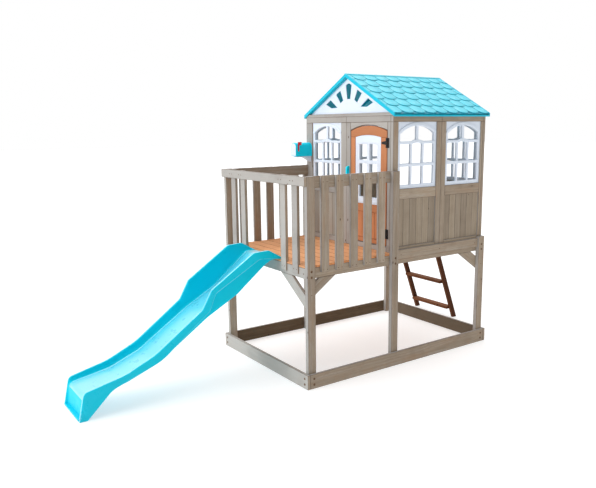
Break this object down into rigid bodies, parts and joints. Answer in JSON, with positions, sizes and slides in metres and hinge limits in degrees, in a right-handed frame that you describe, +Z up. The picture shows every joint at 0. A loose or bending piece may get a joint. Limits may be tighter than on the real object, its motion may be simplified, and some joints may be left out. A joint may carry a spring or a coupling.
{
  "type": "raised wooden playhouse with slide",
  "caption": "Raised timber playhouse with a porch, a wave slide, a rear ladder, arched windows, a hinged door and a gabled moulded roof.",
  "frame": {"origin": "on the ground, at the middle of the whole object's footprint, slide and ladder included", "axes": "+Z up; -Y the way the slide and the porch face, the ladder is at the +Y end; +X to the door's hinge side"},
  "size_m": [1.362, 4.038, 2.469],
  "materials": {
    "grey_timber": "stained, satin",
    "cedar_deck": "oiled",
    "cedar_ladder": "oiled",
    "white_plastic": "semi-gloss",
    "cyan_plastic": "semi-gloss",
    "roof_plastic": "satin",
    "red_plastic": "semi-gloss",
    "black_metal": "powder coat",
    "bolt_steel": "zinc plated, brown washers"
  },
  "bodies": {
    "frame": {"balusters_front": "grey_timber", "balusters_left": "grey_timber", "balusters_right": "grey_timber", "base_front_beam": "grey_timber", "base_left_beam": "grey_timber", "base_rear_beam": "grey_timber", "base_right_beam": "grey_timber", "bolt_heads": "bolt_steel", "deck_boards": "cedar_deck", "deck_joists": "grey_timber", "door_arch_header": "grey_timber", "gable_front": "white_plastic", "gable_rear": "white_plastic", "hand_grip": "cyan_plastic", "hinge_plates": "black_metal", "knee_braces": "grey_timber", "ladder_rungs": "cedar_ladder", "ladder_stringers": "cedar_ladder", "ledgers": "grey_timber", "mailbox_body": "cyan_plastic", "mailbox_bracket": "white_plastic", "panel_boards_front": "grey_timber", "panel_boards_left": "grey_timber", "panel_boards_rear": "grey_timber", "panel_boards_right": "grey_timber", "post_front_left": "grey_timber", "post_front_right": "grey_timber", "post_mid_left": "grey_timber", "post_mid_right": "grey_timber", "post_rear_left": "grey_timber", "post_rear_right": "grey_timber", "rail_front": "grey_timber", "rail_left": "grey_timber", "rail_right": "grey_timber", "rim_front": "grey_timber", "rim_left": "grey_timber", "rim_rear": "grey_timber", "rim_right": "grey_timber", "roof_left": "roof_plastic", "roof_ridge_cap": "roof_plastic", "roof_right": "roof_plastic", "screw_heads": "bolt_steel", "slide": "cyan_plastic", "wall_front_frame": "grey_timber", "wall_left_frame": "grey_timber", "wall_rear_frame": "grey_timber", "wall_right_frame": "grey_timber", "window_front": "white_plastic", "window_left_front": "white_plastic", "window_left_rear": "white_plastic", "window_rear": "white_plastic", "window_right_front": "white_plastic", "window_right_rear": "white_plastic"},
    "door": {"door_frame": "cedar_deck", "door_head": "cedar_deck", "door_boards": "cedar_deck", "door_light": "white_plastic", "hinge_straps": "black_metal"},
    "mailbox_lid": {"mailbox_door": "white_plastic"},
    "flag": {"mailbox_flag": "red_plastic"}
  },
  "joints": [
    {"name": "door_hinge", "type": "hinge", "parent": "frame", "child": "door", "pos_m": [0.541, 0.4945, 1.5], "axis": [0, 0, 1], "range_deg": [0, 85]},
    {"name": "mailbox_lid_hinge", "type": "hinge", "parent": "frame", "child": "mailbox_lid", "pos_m": [-0.565, 0.319, 1.748], "axis": [1, 0, 0], "range_deg": [0, 90]},
    {"name": "flag_pivot", "type": "hinge", "parent": "frame", "child": "flag", "pos_m": [-0.5225, 0.344, 1.793], "axis": [-1, 0, 0], "range_deg": [0, 90]}
  ]
}
